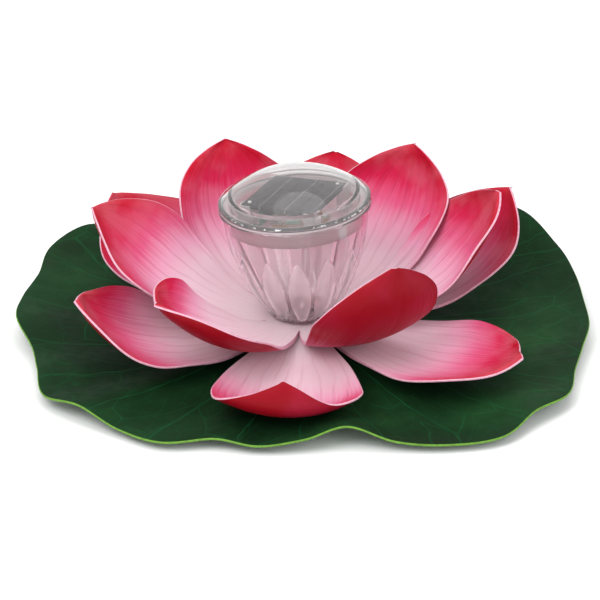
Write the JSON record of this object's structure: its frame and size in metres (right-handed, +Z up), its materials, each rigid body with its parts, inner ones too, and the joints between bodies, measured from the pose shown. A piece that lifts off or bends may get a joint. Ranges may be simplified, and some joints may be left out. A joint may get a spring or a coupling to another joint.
{
  "type": "floating pool light",
  "caption": "Lotus-shaped floating solar pool light: foam lily leaf, two rosettes of pink foam petals, clear fluted lamp cup and clear domed cover over a solar panel.",
  "frame": {"origin": "centre of the underside of the float, on the ground or water plane", "axes": "+Z up, +X to the right of the pictured front, -Y towards the viewer of the front"},
  "size_m": [0.2844, 0.2421, 0.0926],
  "materials": {
    "leaf_foam": "satin",
    "outer_petal_foam": "satin",
    "inner_petal_foam": "satin",
    "float_foam": "matte",
    "zinc_steel": "satin",
    "clear_plastic": "gloss",
    "dark_rubber": "matte",
    "solar_cell": "gloss",
    "white_plastic": "gloss",
    "board_laminate": "satin",
    "battery_sleeve": "gloss",
    "nickel_tab": "satin",
    "chip_black": "matte",
    "inductor_green": "gloss",
    "led_epoxy": "gloss",
    "switch_metal": "satin",
    "switch_knob": "matte",
    "lead_red": "satin",
    "lead_black": "satin"
  },
  "bodies": {
    "flower": {"lily_leaf": "leaf_foam", "outer_petals": "outer_petal_foam", "inner_petals": "inner_petal_foam", "float_disc": "float_foam", "clamp_washer": "zinc_steel", "clamp_screw": "zinc_steel", "lamp_cup": "clear_plastic"},
    "tray": {"electronics_tray": "clear_plastic", "solar_panel": "solar_cell", "panel_pins": "white_plastic", "circuit_board": "board_laminate", "pcb_screws": "zinc_steel", "battery": "battery_sleeve", "battery_positive_tab": "nickel_tab", "battery_negative_tab": "nickel_tab", "driver_chip": "chip_black", "inductor": "inductor_green", "led": "led_epoxy", "switch_body": "switch_metal", "panel_lead_red": "lead_red", "panel_lead_black": "lead_black", "battery_lead_red": "lead_red", "battery_lead_black": "lead_black"},
    "dome": {"dome_cover": "clear_plastic", "seal_ring": "dark_rubber"},
    "switch_slider": {"switch_slider": "switch_knob"}
  },
  "joints": [
    {"name": "tray_lift", "type": "slide", "parent": "flower", "child": "tray", "axis": [-0.0698, 0, 0.9976], "range_m": [0, 0.045]},
    {"name": "dome_lift", "type": "slide", "parent": "tray", "child": "dome", "axis": [-0.0698, 0, 0.9976], "range_m": [0, 0.03]},
    {"name": "switch_slide", "type": "slide", "parent": "tray", "child": "switch_slider", "axis": [-0.9041, 0.4226, -0.0632], "range_m": [0, 0.002]}
  ]
}
